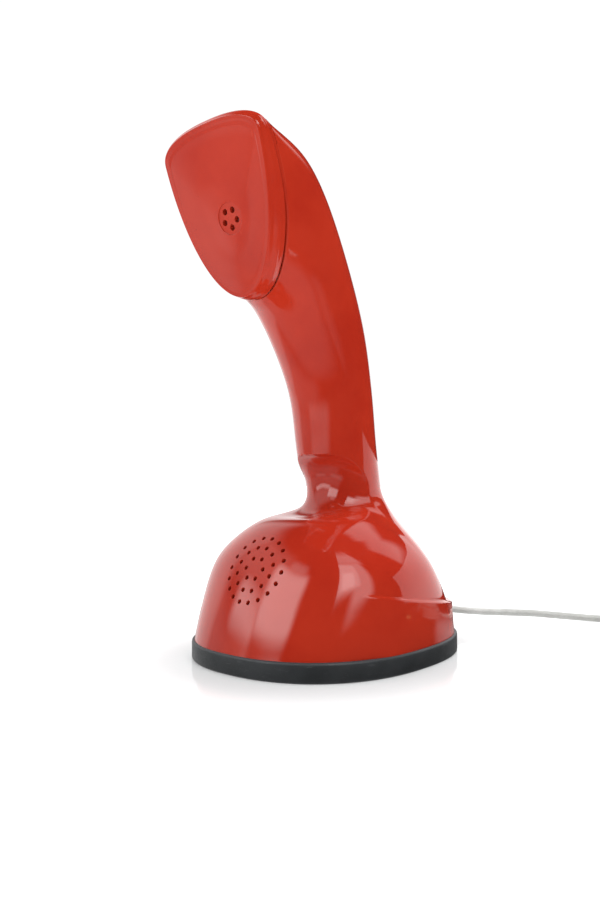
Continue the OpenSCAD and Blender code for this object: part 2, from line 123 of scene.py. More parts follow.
class Paint(Nodes):
    """A material's nodes, placed by object coordinates in millimetres."""

    def __init__(self, name):
        self.mat = bpy.data.materials.new(name)
        self.mat.use_nodes = True
        super().__init__(self.mat.node_tree)
        self.shader = self.tree.nodes["Principled BSDF"]
        self.coords = self.node("ShaderNodeTexCoord").outputs["Object"]

    def stretch(self, scale, turn=(0, 0, 0)):
        """Object coordinates in millimetres, scaled per axis."""
        m = self.node("ShaderNodeMapping")
        m.inputs["Scale"].default_value = [1000 * s for s in scale]
        m.inputs["Rotation"].default_value = turn
        self.link(self.coords, m.inputs["Vector"])
        return m.outputs["Vector"]

    def noise(self, per_mm, detail=3.0, rough=0.5, vector=None):
        n = self.node("ShaderNodeTexNoise")
        n.inputs["Scale"].default_value = per_mm
        n.inputs["Detail"].default_value = detail
        n.inputs["Roughness"].default_value = rough
        self.link(vector or self.stretch((1, 1, 1)), n.inputs["Vector"])
        return n.outputs["Fac"]

    def cells(self, per_mm):
        n = self.node("ShaderNodeTexVoronoi", feature="F1")
        n.inputs["Scale"].default_value = per_mm
        self.link(self.stretch((1, 1, 1)), n.inputs["Vector"])
        return n.outputs["Distance"]

    def mix(self, share, a, b):
        """Between two colours, each a tuple or a socket."""
        m = self.node("ShaderNodeMix", data_type="RGBA")
        self.link(share, m.inputs[0])
        for i, v in ((6, a), (7, b)):
            if isinstance(v, tuple):
                m.inputs[i].default_value = (*v, 1.0)
            else:
                self.link(v, m.inputs[i])
        return m.outputs[2]

    def edges(self, low=0.5, high=0.56):
        """1 on sharp outward edges, 0 elsewhere."""
        g = self.node("ShaderNodeNewGeometry")
        return self.ramp(g.outputs["Pointiness"], low, high, 0.0, 1.0)

    def bump(self, height, depth_mm, after=None):
        b = self.node("ShaderNodeBump")
        b.inputs["Strength"].default_value = 1.0
        b.inputs["Distance"].default_value = depth_mm * MM
        self.link(height, b.inputs["Height"])
        if after:
            self.link(after, b.inputs["Normal"])
        return b.outputs["Normal"]

    def finish(self, colour, rough, normal=None, metal=0.0, ior=None):
        s = self.shader.inputs
        self.link(colour, s["Base Color"])
        self.link(rough, s["Roughness"])
        if normal:
            self.link(normal, s["Normal"])
        s["Metallic"].default_value = metal
        if ior:
            s["IOR"].default_value = ior
        return self.mat


# ---- finishes ----
# the body's red, and how it goes where worn and where denser
RED = (0.450, 0.0275, 0.0105)
RED_WORN = (0.500, 0.0510, 0.0260)
RED_DEEP = (0.395, 0.0200, 0.0080)


def red_plastic():
    """Glossy moulded plastic: faint moulding waves, specks, hairline rubs and paler edges."""
    p = Paint("red_plastic")
    blotch = p.noise(0.035, detail=3, rough=0.55)
    fine = p.noise(0.9, detail=3, rough=0.6)
    specks = p.ramp(p.cells(0.23), 0.03, 0.075, 1.0, 0.0)
    sparse = p.ramp(p.noise(0.11, detail=1), 0.56, 0.64, 0.0, 1.0)
    specks = p.maths("MULTIPLY", specks, sparse)
    rubs = p.noise(0.5, detail=4, rough=0.7, vector=p.stretch((1.0, 1.0, 0.05), (0.5, 0.3, 0.2)))
    rubs = p.ramp(rubs, 0.62, 0.72, 0.0, 1.0)
    across = p.stretch((0.06, 0.9, 1.0), (0.2, 0.7, 0.4))
    across = p.noise(0.55, detail=4, rough=0.7, vector=across)
    across = p.ramp(across, 0.64, 0.74, 0.0, 1.0)
    rubs = p.maths("MAXIMUM", rubs, across)
    tone = p.mix(p.ramp(blotch, 0.3, 0.7, 0.0, 1.0), RED_DEEP, RED)
    tone = p.mix(p.maths("MULTIPLY", fine, 0.12), tone, RED_WORN)
    tone = p.mix(p.maths("MULTIPLY", p.edges(0.515, 0.60), 0.45), tone, RED_WORN)
    tone = p.mix(p.maths("MULTIPLY", specks, 0.55), tone, (0.16, 0.02, 0.012))
    rough = p.ramp(blotch, 0.25, 0.75, 0.035, 0.07)
    rough = p.maths("ADD", rough, p.maths("MULTIPLY", rubs, 0.09))
    rough = p.maths("ADD", rough, p.maths("MULTIPLY", fine, 0.03))
    waves = p.bump(p.noise(0.06, detail=1, rough=0.4), 0.12)
    pits = p.bump(p.maths("SUBTRACT", p.maths("MULTIPLY", fine, 0.25), specks), 0.012, waves)
    return p.finish(tone, rough, pits, ior=1.50)


def black_rubber():
    """Matt charcoal rubber: fine grain, dusty bloom and grey scuffs."""
    p = Paint("black_rubber")
    grain = p.noise(2.2, detail=4, rough=0.65)
    bloom = p.noise(0.05, detail=4, rough=0.6)
    scuff = p.noise(0.6, detail=5, rough=0.75, vector=p.stretch((0.25, 0.25, 1.2)))
    scuff = p.ramp(scuff, 0.58, 0.72, 0.0, 1.0)
    tone = p.mix(p.ramp(bloom, 0.3, 0.7, 0.0, 1.0), (0.012, 0.0145, 0.016), (0.026, 0.029, 0.032))
    tone = p.mix(p.maths("MULTIPLY", scuff, 0.35), tone, (0.12, 0.12, 0.125))
    tone = p.mix(p.maths("MULTIPLY", p.edges(0.51, 0.58), 0.4), tone, (0.10, 0.10, 0.11))
    rough = p.ramp(grain, 0.3, 0.7, 0.42, 0.60)
    normal = p.bump(grain, 0.03, p.bump(bloom, 0.2))
    return p.finish(tone, rough, normal, ior=1.5)


def plain_plastic(name, light, dark, low=0.25, high=0.42):
    """Moulded plastic in one colour family, with grain, handling marks and worn edges."""
    p = Paint(name)
    blotch = p.noise(0.06, detail=4, rough=0.6)
    grain = p.noise(3.0, detail=3, rough=0.6)
    marks = p.stretch((1.0, 0.12, 0.6), (0.3, 0.2, 0.6))
    marks = p.ramp(p.noise(0.7, detail=5, rough=0.75, vector=marks), 0.6, 0.7, 0.0, 1.0)
    tone = p.mix(p.ramp(blotch, 0.3, 0.7, 0.0, 1.0), dark, light)
    worn = tuple(min(1.0, 1.25 * c + 0.02) for c in light)
    tone = p.mix(p.maths("MULTIPLY", p.edges(), 0.5), tone, worn)
    tone = p.mix(p.maths("MULTIPLY", marks, 0.12), tone, tuple(0.55 * c for c in dark))
    rough = p.maths("ADD", p.ramp(blotch, 0.3, 0.7, low, high), p.maths("MULTIPLY", marks, 0.12))
    return p.finish(tone, rough, p.bump(grain, 0.015), ior=1.47)


TARNISH = (0.10, 0.085, 0.07)


def bare_metal(name, light, dark, low, high):
    """Machined or rolled metal: drawn lines, tarnish in patches and brighter edges."""
    p = Paint(name)
    drawn = p.noise(2.6, detail=4, rough=0.7, vector=p.stretch((1.0, 0.03, 1.0)))
    tarnish = p.noise(0.22, detail=5, rough=0.65)
    pits = p.ramp(p.cells(0.9), 0.05, 0.16, 1.0, 0.0)
    tone = p.mix(p.ramp(drawn, 0.3, 0.7, 0.0, 1.0), dark, light)
    tone = p.mix(p.ramp(tarnish, 0.52, 0.74, 0.0, 0.55), tone, TARNISH)
    tone = p.mix(p.maths("MULTIPLY", p.edges(0.51, 0.57), 0.7), tone, light)
    rough = p.maths("ADD", p.ramp(drawn, 0.2, 0.8, low, high), p.ramp(tarnish, 0.5, 0.75, 0.0, 0.22))
    height = p.maths("SUBTRACT", drawn, p.maths("MULTIPLY", pits, 0.5))
    return p.finish(tone, rough, p.bump(height, 0.01), metal=1.0)


def wound_wire():
    """Lacquered copper winding: side-by-side wires with painted shade in the grooves between them, and
    lacquer darkened in patches.
    """
    p = Paint("winding")
    w = p.node("ShaderNodeTexWave", wave_type="BANDS", bands_direction="Y", wave_profile="SIN")
    w.inputs["Scale"].default_value = 0.55
    w.inputs["Distortion"].default_value = 0.6
    w.inputs["Detail"].default_value = 2.0
    p.link(p.stretch((1, 1, 1)), w.inputs["Vector"])
    strands_and_groove_shade = w.outputs["Fac"]
    age = p.noise(0.3, detail=4, rough=0.6)
    # Painted shade: the copper is darkest where the strands' bump is lowest, in the grooves between the
    # wires.
    tone = p.mix(strands_and_groove_shade, (0.10, 0.030, 0.012), (0.50, 0.19, 0.075))
    tone = p.mix(p.ramp(age, 0.5, 0.7, 0.0, 0.5), tone, (0.06, 0.025, 0.012))
    return p.finish(tone, p.ramp(age, 0.3, 0.7, 0.22, 0.4), p.bump(strands_and_groove_shade, 0.12), metal=0.75)


def cord_skin():
    """Grey sheathing: faint grain, handling dirt, darker patches and a soft sheen."""
    p = Paint("cord_grey")
    dirt = p.noise(0.12, detail=4, rough=0.65)
    grain = p.noise(2.4, detail=4, rough=0.6)
    rings = p.noise(1.1, detail=2, rough=0.5)
    clean, handled, ringed = (0.550, 0.560, 0.540), (0.430, 0.435, 0.415), (0.36, 0.36, 0.345)
    tone = p.mix(p.ramp(dirt, 0.3, 0.72, 0.0, 1.0), clean, handled)
    tone = p.mix(p.ramp(rings, 0.6, 0.75, 0.0, 0.35), tone, ringed)
    rough = p.ramp(grain, 0.3, 0.7, 0.30, 0.45)
    return p.finish(tone, rough, p.bump(grain, 0.02, p.bump(rings, 0.05)), ior=1.5)


def number_paint():
    """Filled black figures, a little rubbed."""
    p = Paint("figure_paint")
    wear = p.noise(2.0, detail=5, rough=0.7)
    tone = p.mix(p.ramp(wear, 0.58, 0.70, 0.0, 0.6), (0.016, 0.016, 0.018), (0.13, 0.12, 0.11))
    return p.finish(tone, p.ramp(wear, 0.3, 0.7, 0.35, 0.55), p.bump(wear, 0.01))


def floor_paper():
    """Pale studio floor with a faint gloss. It glows though it is no lamp: painted light, weaker near the
    foot as a painted shade.
    """
    p = Paint("floor_paper")
    grain = p.noise(0.4, detail=4, rough=0.6)
    tone = p.mix(grain, (0.50, 0.51, 0.515), (0.53, 0.535, 0.54))
    rough = p.ramp(grain, 0.3, 0.7, 0.08, 0.12)
    length = p.node("ShaderNodeVectorMath", operation="LENGTH")
    p.link(p.coords, length.inputs[0])
    reach = length.outputs["Value"]  # distance from the middle of the floor, in metres
    # Painted light: the floor glows though it is no lamp. The glow is lower within about 0.1 m of the
    # middle, a painted shade round the foot, and higher further out.
    near = p.ramp(reach, 0.055, 0.10, 0.24, 0.62)
    far = p.ramp(reach, 0.15, 0.60, 0.0, 0.60)
    p.link(p.maths("ADD", near, far), p.shader.inputs["Emission Strength"])
    p.shader.inputs["Emission Color"].default_value = (1, 1, 1, 1)
    return p.finish(tone, rough, ior=1.2)


def make_finishes():
    """Every material of the telephone, by the name of its slot."""
    steel_light, steel_dark = (0.62, 0.61, 0.59), (0.42, 0.41, 0.40)
    sleeve_light, sleeve_dark = (0.45, 0.05, 0.03), (0.32, 0.03, 0.02)
    return {
        "red_plastic": red_plastic(),
        "black_rubber": black_rubber(),
        "dark_plastic": plain_plastic("dark_plastic", (0.035, 0.036, 0.04), (0.018, 0.018, 0.02)),
        "ivory_plastic": plain_plastic("ivory_plastic", (0.72, 0.66, 0.50), (0.62, 0.55, 0.40)),
        "brass": bare_metal("brass", (0.80, 0.60, 0.27), (0.60, 0.42, 0.16), 0.18, 0.34),
        "aluminium": bare_metal("aluminium", (0.78, 0.78, 0.79), (0.60, 0.60, 0.61), 0.24, 0.42),
        "steel": bare_metal("steel", steel_light, steel_dark, 0.22, 0.4),
        "winding": wound_wire(),
        "lead_sleeving": plain_plastic("lead_sleeving", sleeve_light, sleeve_dark, 0.3, 0.5),
        "cord_grey": cord_skin(),
    }


def wear(obj, material):
    obj.data.materials.clear()
    obj.data.materials.append(material)


# ---- mesh helpers ----
def mesh_object(name, points, faces, smooth=True):
    data = bpy.data.meshes.new(name)
    data.from_pydata([tuple(p) for p in points], [], faces)
    data.validate()
    data.update()
    if smooth:
        data.polygons.foreach_set("use_smooth", [True] * len(data.polygons))
    obj = bpy.data.objects.new(name, data)
    bpy.context.scene.collection.objects.link(obj)
    return obj


def skin(rings, closed=False):
    """Faces through equal rings of points, closed into a torus or capped at both ends."""
    count, around = len(rings), len(rings[0])
    points = np.concatenate([np.asarray(r) for r in rings])
    faces = []
    for k in range(count if closed else count - 1):
        low, high = k * around, ((k + 1) % count) * around
        for i in range(around):
            j = (i + 1) % around
            faces.append((low + i, low + j, high + j, high + i))
    if not closed:
        faces.append(tuple(range(around - 1, -1, -1)))
        last = (count - 1) * around
        faces.append(tuple(last + i for i in range(around)))
    return points, faces


def recalculate(obj):
    bm = bmesh.new()
    bm.from_mesh(obj.data)
    bmesh.ops.recalc_face_normals(bm, faces=bm.faces)
    bm.to_mesh(obj.data)
    bm.free()


def apply_modifiers(obj):
    dg = bpy.context.evaluated_depsgraph_get()
    made = bpy.data.meshes.new_from_object(obj.evaluated_get(dg))
    obj.modifiers.clear()
    old = obj.data
    obj.data = made
    bpy.data.meshes.remove(old)


def cut(obj, cutters):
    """Takes closed cutter objects out of obj exactly, then deletes them."""
    group = bpy.data.collections.new("cutters")
    bpy.context.scene.collection.children.link(group)
    for c in cutters:
        group.objects.link(c)
    m = obj.modifiers.new("cut", "BOOLEAN")
    m.operation = "DIFFERENCE"
    m.solver = "EXACT"
    m.operand_type = "COLLECTION"
    m.collection = group
    apply_modifiers(obj)
    for c in cutters:
        bpy.data.objects.remove(c)
    bpy.data.collections.remove(group)


def sharpen(obj, degrees):
    """Smooth shading that breaks at edges sharper than this."""
    obj.data.set_sharp_from_angle(angle=math.radians(degrees))


def full_turn(around):
    """Angles of this many points round one turn."""
    return np.linspace(0, 2 * np.pi, around, endpoint=False)


def bent(t, n):
    """A sine or cosine bent so that a circle of it is squarer, the more so the larger n is."""
    return np.sign(t) * np.abs(t) ** (2 / n)


def lathe_rings(profile, around):
    """Rings from (radius, height) pairs about Z."""
    a = full_turn(around)
    return [np.stack([r * np.cos(a), r * np.sin(a), np.full(around, z)], axis=1) for r, z in profile]


def moved(points, matrix):
    """The points after a 4 x 4 matrix."""
    p, m = np.asarray(points), np.array(matrix)
    return p @ m[:3, :3].T + m[:3, 3]


# ---- driving dimensions, in millimetres ----
# They follow the CAD's, but for small changes that the photo asked for in the looks: FACE_N (2.2
# in the CAD), the last but one of HALF_W (24.3), MIC_HOLE_R (0.9) and NOTCH_ARCH (0.0305).
# SEAM_LIFT and the skirt's ledge are only here, and the skirt is 0.4 narrower each side.
FACE_TILT = math.radians(18.4)
FACE_C = (0, -47.6, 169.3)
FACE_HALF_W, FACE_TOP, FACE_BOTTOM = 25.2, 34.0, -29.0
FACE_WIDEST = 25.0  # how far up the listening end is widest
FACE_Z = 2.45  # crest of the cap's rim, outwards from the face's own plane
FACE_N = 2.4  # how square the listening end's upper corners are
CAP_FLARE = 2.4  # how much the cap grows from rim to joint
CAP_Z = -5.55  # the joint between cap and handset
TOP_SHARE = 0.6  # share of the outline's growth that its top edge gets
SEAM_LIFT = (0.7, 5.0)  # the joint stands nearer the face: all round, and more at the top
SEAM_FROM, SEAM_RUN = -8.0, 52.0  # height on the face where the second starts, and its climb
SEAM_FADE = 20.0  # how far down the handle the lift dies out
DISC_R = 6.0  # middle disc of the cap
CAP_HOLES, CAP_HOLE_R, CAP_HOLE_REACH = 5, 1.2, 3.4
WALL = 3.0
SIDE_WALL = 1.12  # thickness of the side walls over that of front and rear
MIC_C = (0, -35.7, 37.4)
MIC_TILT = math.radians(34)
MIC_PITCH, MIC_HOLE_R = 4.45, 0.92
EXIT_Z, EXIT_HOLE_R = 13.0, 4.5
DIAL_Y = 5.5
FIGURE_REACH, FIGURE_SIZE = 37.1, 4.6


def face_to_world(p):
    """From the listening face's own axes to the telephone's."""
    c, s = math.cos(FACE_TILT), math.sin(FACE_TILT)
    return (p[0], FACE_C[1] - s * p[1] - c * p[2], FACE_C[2] + c * p[1] - s * p[2])


def head_end(v):
    """The (y, z) of the cap's joint at height v of the face."""
    return face_to_world((0, v, CAP_Z))[1:]


# (y, z) of the skin's front and rear lines and its half width, at stations 0 to 12 going up
FRONT = np.array([
    (-48.5, 7.4), (-44, 19.5), (-36, 37.5), (-29, 48), (-18.5, 55.5), (-3.5, 57), (-0.5, 68),
    (-2, 85), (-4.5, 106), (-13, 122.5), (-22, 134.5), (-29, 139.5), head_end(FACE_BOTTOM - CAP_FLARE),
])
REAR = np.array([
    (59.5, 7.4), (54.5, 18), (44, 33.5), (40.5, 44.5), (37, 55), (34, 66), (31.5, 75.5),
    (27.5, 88), (23.5, 110), (16, 139.5), (-3.5, 176), (-25.5, 197.5),
    head_end(FACE_TOP + TOP_SHARE * CAP_FLARE),
])
HALF_W = np.array([
    47.5, 48.3, 46.5, 38, 26.5, 18, 17.2, 18.4, 19.4, 21, 22.9, 25.2, FACE_HALF_W + CAP_FLARE,
])
EASE = 0.22  # stations over which those lines are averaged
SPANS = len(FRONT) - 1


def along(values, s):
    """Smooth curve through the values at station s, which may be an array."""
    v = values.reshape(len(values), -1)
    p = np.vstack([2 * v[0] - v[1], v, 2 * v[-1] - v[-2]])
    i = np.minimum(np.floor(s).astype(int), len(v) - 2)
    t = (s - i)[:, None]
    a, b, c, d = p[i], p[i + 1], p[i + 2], p[i + 3]
    square, cube = 2 * a - 5 * b + 4 * c - d, 3 * b - a - 3 * c + d
    return 0.5 * (2 * b + (c - a) * t + square * t**2 + cube * t**3)


def eased(values, s):
    """along(), averaged over a short run of stations so that no kink shows in the gloss."""
    out, total = 0.0, 0.0
    for shift in np.linspace(-2, 2, 9):
        weight = math.exp(-0.5 * shift**2)
        room = np.minimum(1.0, np.minimum(s, SPANS - s) / (2 * EASE) + 1e-6)
        out = out + weight * along(values, np.clip(s + shift * EASE * room, 0, SPANS))
        total += weight
    return out / total


def unit(v):
    return v / np.linalg.norm(v, axis=-1, keepdims=True)


def smooth01(t):
    t = np.clip(t, 0, 1)
    return t * t * (3 - 2 * t)


def widest(s):
    """Where the skin is widest, as a share of the way from its front line to its rear one."""
    return 0.475 + 0.369 * np.clip((s - 7) / 5, 0, 1) ** 3


def front_n(s):
    """How square the front half of the skin is, where 2 is round."""
    return 2.3 - 0.3 * np.clip(s / 5, 0, 1)


def rear_n(s):
    """How square the rear half of the skin is, where 2 is round."""
    return 2.45 - 0.45 * np.clip(s / 5, 0, 1) + (FACE_N - 2) * smooth01((s - 9.5) / 2.5)


def shell_points(s, around, inset):
    """The handset's skin at stations s, as an array (station, angle, xyz) in millimetres."""
    f, r, w = eased(FRONT, s), eased(REAR, s), eased(HALF_W, s)[:, 0]
    if inset:
        lo, hi = np.maximum(s - 0.05, 0), np.minimum(s + 0.05, SPANS)
        tf = unit(eased(FRONT, hi) - eased(FRONT, lo))
        tr = unit(eased(REAR, hi) - eased(REAR, lo))
        f = f + inset * np.stack([tf[:, 1], -tf[:, 0]], axis=1)
        r = r + inset * np.stack([-tr[:, 1], tr[:, 0]], axis=1)
        w = w - SIDE_WALL * inset
    length = np.linalg.norm(r - f, axis=1)
    e = (r - f) / length[:, None]
    c = widest(s)
    a = full_turn(around)
    ca, sa = np.cos(a)[None, :], np.sin(a)[None, :]
    n = np.where(sa < 0, front_n(s)[:, None], rear_n(s)[:, None])
    reach = np.where(sa < 0, c[:, None], 1 - c[:, None]) * length[:, None]
    x = w[:, None] * bent(ca, n)
    v = (c * length)[:, None] + reach * bent(sa, n)
    y = f[:, 0][:, None] + e[:, 0][:, None] * v
    z = f[:, 1][:, None] + e[:, 1][:, None] * v
    return np.stack([x, y, z], axis=-1)


NOTCH_DEPTH = 6.0
NOTCH_TOP = 81.8  # height of the lip's crown
NOTCH_ARCH = 0.042  # how fast the lip falls behind the crown
NOTCH_HEIGHT = 26.0
NOTCH_SKEW = 0.62  # below 1, the deepest point is nearer the lip
NOTCH_CROWN_Y = -3.9
NOTCH_AXIS_Y = 12.1  # the recess is pressed in towards this upright line


def recess(p):
    """Finger recess under the handle: a crisp arched lip above, a sweep fading out below."""
    x, y, z = p[..., 0], p[..., 1], p[..., 2]
    r = np.hypot(x, y - NOTCH_AXIS_Y)
    facing = (NOTCH_AXIS_Y - y) / r
    depth = NOTCH_DEPTH * np.clip((facing + 0.1) / 1.1, 0, 1) ** 0.8
    behind = np.maximum(0, y - NOTCH_CROWN_Y)
    h = np.clip((NOTCH_TOP - NOTCH_ARCH * behind * behind - z) / NOTCH_HEIGHT, 0, 1)
    d = depth * np.sin(np.pi * h**NOTCH_SKEW)
    out = p.copy()
    out[..., 0] -= d * x / r
    out[..., 1] -= d * (y - NOTCH_AXIS_Y) / r
    return out


FOOT_HALF_W, FOOT_FRONT, FOOT_REAR, FOOT_Y = 49.1, 52.7, 58.4, 2.6
FOOT_H, FOOT_BAND = 7.4, 6.0
SKIRT_N = 2.45
SKIRT_HALF_W, SKIRT_HALF_L = 46.6, 55.8  # at the foot
SKIRT_DRAFT = 0.05  # inwards per millimetre up
SKIRT_STEP = 0.65  # how far its ledge stands out
SKIRT_Y, SKIRT_FADE = -22.5, 16.0  # where the ledge dies into the side, and over what length
SKIRT_EDGE = 0.8  # height over which the ledge turns in
LEDGE_Z, LEDGE_DROP = 30.0, 10.0  # its height at the front end, and how much lower at the rear
LEDGE_Y, LEDGE_RUN = -19.0, 60.0


def skirt(p):
    """Straight skirt round the rear of the foot, ending above in a narrow ledge."""
    x, y, z = p[..., 0], p[..., 1] - FOOT_Y, p[..., 2]
    top = LEDGE_Z - LEDGE_DROP * np.clip((p[..., 1] - LEDGE_Y) / LEDGE_RUN, -0.2, 1)
    g = 0.8 - SKIRT_DRAFT * (z - FOOT_H)
    across, back = np.abs(x) / (SKIRT_HALF_W + g), np.abs(y) / (SKIRT_HALF_L + g)
    rho = (across**SKIRT_N + back**SKIRT_N) ** (1 / SKIRT_N)
    fill = np.where((rho > 0.5) & (rho < 1), 1 / np.maximum(rho, 1e-6), 1.0)
    grow = fill + SKIRT_STEP / np.hypot(x, y)
    fade = smooth01((p[..., 1] - SKIRT_Y) / SKIRT_FADE) * smooth01((top - z) / SKIRT_EDGE)
    k = 1 + (grow - 1) * fade
    out = p.copy()
    out[..., 0] = x * k
    out[..., 1] = FOOT_Y + y * k
    return out


def seam_lift(y):
    """Rise of the joint between cap and handset at height y of the face."""
    return SEAM_LIFT[0] + SEAM_LIFT[1] * smooth01((y - SEAM_FROM) / SEAM_RUN)


def lifted(rings):
    """Draw the open upper end forwards so that it follows the cap's climbing joint."""
    c, s = math.cos(FACE_TILT), math.sin(FACE_TILT)
    y, z = rings[..., 1] - FACE_C[1], rings[..., 2] - FACE_C[2]
    across, out = c * z - s * y, -c * y - s * z
    lift = seam_lift(across) * smooth01((out - CAP_Z + SEAM_FADE) / SEAM_FADE)
    moved_rings = rings.copy()
    moved_rings[..., 1] -= c * lift
    moved_rings[..., 2] -= s * lift
    return moved_rings


# (station, inset): the rounded edge that the skin turns in with before the cap's joint
SHELL_EDGE = [(11.92, 0.0), (11.96, 0.14), (11.983, 0.40), (12.0, 0.85)]
# (first station, last, rings between them): closest where the ledge and the recess are
SHELL_RINGS = [(0, 0.75, 14), (0.75, 1.7, 64), (1.7, 4.2, 42), (4.2, 7.4, 104)]


def hole_cutter(centre, turn, radius, low, high, sides=20):
    """A closed prism to cut a round hole with."""
    pts, faces = skin(lathe_rings([(radius, low), (radius, high)], sides))
    m = Matrix.Translation(centre) @ turn.to_4x4()
    return mesh_object("hole", moved(pts, m) * MM, faces, smooth=False)


def make_shell(finishes):
    """The whole handset as one hollow skin with its speaking holes and cord hole."""
    around = 256
    stations = [np.linspace(low, high, count, endpoint=False) for low, high, count in SHELL_RINGS]
    stations.append(np.linspace(SHELL_RINGS[-1][1], SPANS, 80)[:-1])  # handle and head
    outer = skirt(recess(shell_points(np.concatenate(stations), around, 0.0)))
    edge = [shell_points(np.array([s]), around, inset)[0] for s, inset in SHELL_EDGE]
    outer = lifted(np.concatenate([outer, edge]))
    inner = lifted(recess(shell_points(np.linspace(SPANS, 0, 56), around, WALL)))
    rings = list(outer * MM)
    lip = (outer[-1] * 0.25 + inner[0] * 0.75) * MM
    rings += [lip] + list(inner[1:-1] * MM) + [(outer[0] * 0.2 + inner[-1] * 0.8) * MM]
    pts, faces = skin(rings, closed=True)
    obj = mesh_object("handset_shell", pts, faces)
    recalculate(obj)
    cutters = []
    turn = Matrix.Rotation(math.pi / 2 - MIC_TILT, 3, "X")
    for ring in (1, 2, 3):
        for i in range(6 * ring):
            a, r = math.radians(60 * i / ring + (15 if ring == 2 else 0)), ring * MIC_PITCH
            spot = Vector(MIC_C) + turn @ Vector((r * math.cos(a), r * math.sin(a), 0))
            cutters.append(hole_cutter(spot, turn, MIC_HOLE_R, -8, 6))
    back = Matrix.Rotation(-math.pi / 2, 3, "X")
    cutters.append(hole_cutter(Vector((0, 50, EXIT_Z)), back, EXIT_HOLE_R, 0, 16, 40))
    cut(obj, cutters)
    sharpen(obj, 38)
    wear(obj, finishes["red_plastic"])
    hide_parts("body_shell")
    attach(obj, "telephone")


def face_ring(grow, z, share, around):
    """One ring of the cap in the face's axes; share 0 is the middle disc, 1 the outline."""
    a = full_turn(around)
    ca, sa = np.cos(a), np.sin(a)
    half = FACE_HALF_W + grow
    up = FACE_TOP + (TOP_SHARE * grow if grow > 0 else grow) - FACE_WIDEST
    down = FACE_WIDEST - FACE_BOTTOM + grow
    n = np.where(sa > 0, FACE_N, 2.0)
    x = half * bent(ca, n)
    y = FACE_WIDEST + np.where(sa > 0, up, down) * bent(sa, n)
    x, y = x * share + DISC_R * ca * (1 - share), y * share + DISC_R * sa * (1 - share)
    depth = min(max((FACE_Z - z) / (FACE_Z - CAP_Z), 0), 1)
    lift = seam_lift(y) * depth if share > 0.95 else 0 * y
    return np.stack([x, y, z + lift], axis=1)


CAP_PROFILE = [  # grow, height, share of the way out from the middle disc
    (0, 0.0, 0.0), (0, 0.22, 0.005), (0, 0.33, 0.10), (0, 0.62, 0.3), (0, 1.15, 0.5), (0, 1.62, 0.68),
    (0, 1.98, 0.82), (-1.4, 2.22, 1), (-0.4, 2.42, 1), (0.15, 2.25, 1), (0.5, 1.5, 1), (0.85, 0.5, 1),
    (1.45, -0.7, 1), (1.95, -2.0, 1), (2.22, -3.4, 1),
    (2.38, CAP_Z + 1.1, 1), (2.0, CAP_Z + 0.62, 1),
    (-0.6, CAP_Z + 0.6, 1),
]


def make_cap(finishes):
    """The listening cap: dished face, soft rim, tapered side, disc with five holes."""
    around = 192
    rows = along(np.array(CAP_PROFILE), np.linspace(0, len(CAP_PROFILE) - 1, 120))
    outside = [face_ring(grow, z, share, around) for grow, z, share in rows]
    inside = [face_ring(0, -0.6, 0.9, around), face_ring(0, -2.2, 0.12, around)]
    rings = [np.array([face_to_world(p) for p in ring]) * MM for ring in outside + inside]
    pts, faces = skin(rings)
    obj = mesh_object("receiver_cap_skin", pts, faces)
    recalculate(obj)
    turn = Matrix.Rotation(math.pi / 2 + FACE_TILT, 3, "X")
    cutters = []
    for i in range(CAP_HOLES):
        a, r = math.radians(360 * i / CAP_HOLES + 54), CAP_HOLE_REACH
        spot = Vector(FACE_C) + turn @ Vector((r * math.cos(a), r * math.sin(a), 0))
        cutters.append(hole_cutter(spot, turn, CAP_HOLE_R, -4, 3))
    cut(obj, cutters)
    sharpen(obj, 40)
    wear(obj, finishes["red_plastic"])
    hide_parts("receiver_cap")
    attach(obj, "telephone")


def foot_ring_points(grow, z, around):
    """The foot's outline at height z, grown all round."""
    a = full_turn(around)
    n = np.where(np.sin(a) < 0, 2.28, 2.46)
    d = np.where(np.sin(a) < 0, FOOT_FRONT, FOOT_REAR) + grow
    x = (FOOT_HALF_W + grow) * bent(np.cos(a), n)
    y = FOOT_Y + d * bent(np.sin(a), n)
    return np.stack([x, y, np.full(around, z)], axis=1)


def make_foot(finishes):
    """Rubber foot: a hollow band with soft corners and three shallow grip grooves below."""
    around = 256
    outside = [
        (-0.9, 0.0), (-0.35, 0.12), (-0.08, 0.45), (0, 1.0), (0, 3.6),
        (0, FOOT_H - 1.0), (-0.1, FOOT_H - 0.4), (-0.45, FOOT_H - 0.07), (-1.0, FOOT_H),
    ]
    inside = [
        (-FOOT_BAND + 0.3, FOOT_H), (-FOOT_BAND, FOOT_H - 0.3), (-FOOT_BAND, 0.6), (-FOOT_BAND + 0.4, 0.0),
    ]
    below = []
    for grow in (-4.6, -3.6, -2.6):
        below += [(grow - 0.3, 0.0), (grow - 0.16, 0.35), (grow + 0.16, 0.35), (grow + 0.3, 0.0)]
    rings = [foot_ring_points(g, z, around) * MM for g, z in outside + inside + below]
    pts, faces = skin(rings, closed=True)
    obj = mesh_object("foot_rubber", pts, faces)
    recalculate(obj)
    sharpen(obj, 50)
    wear(obj, finishes["black_rubber"])
    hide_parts("foot_ring")
    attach(obj, "telephone")


# ---- line cord ----
CORD_D = 3.2
ROUTE = [
    (0, 46, 13), (0, 53, 13), (0, 60, 13), (1, 65, 12.5), (3, 71, 11.3), (7, 78, 9.6), (13, 86, 7.8),
    (21, 96, 6.4), (29, 107, 5.4), (37, 117, 4.5), (45, 125, 3.4), (54, 133, 2.3), (62, 139, 1.7),
    (71, 145, 1.7), (80, 149, 1.7), (91, 150.4, 1.7),
]
TAIL = [(122.4, 119.5, 11.2), (122.4, 113, 10), (122.4, 106, 8), (122.4, 99, 6.5), (122.4, 93, 6)]
COIL_C = (100, 128)
COIL_R = 6 * CORD_D
COIL_COLS, COIL_ROWS = 3, 4
PER_TURN = 30
CROSSOVER = 0.18  # share of a turn over which it steps to the next place


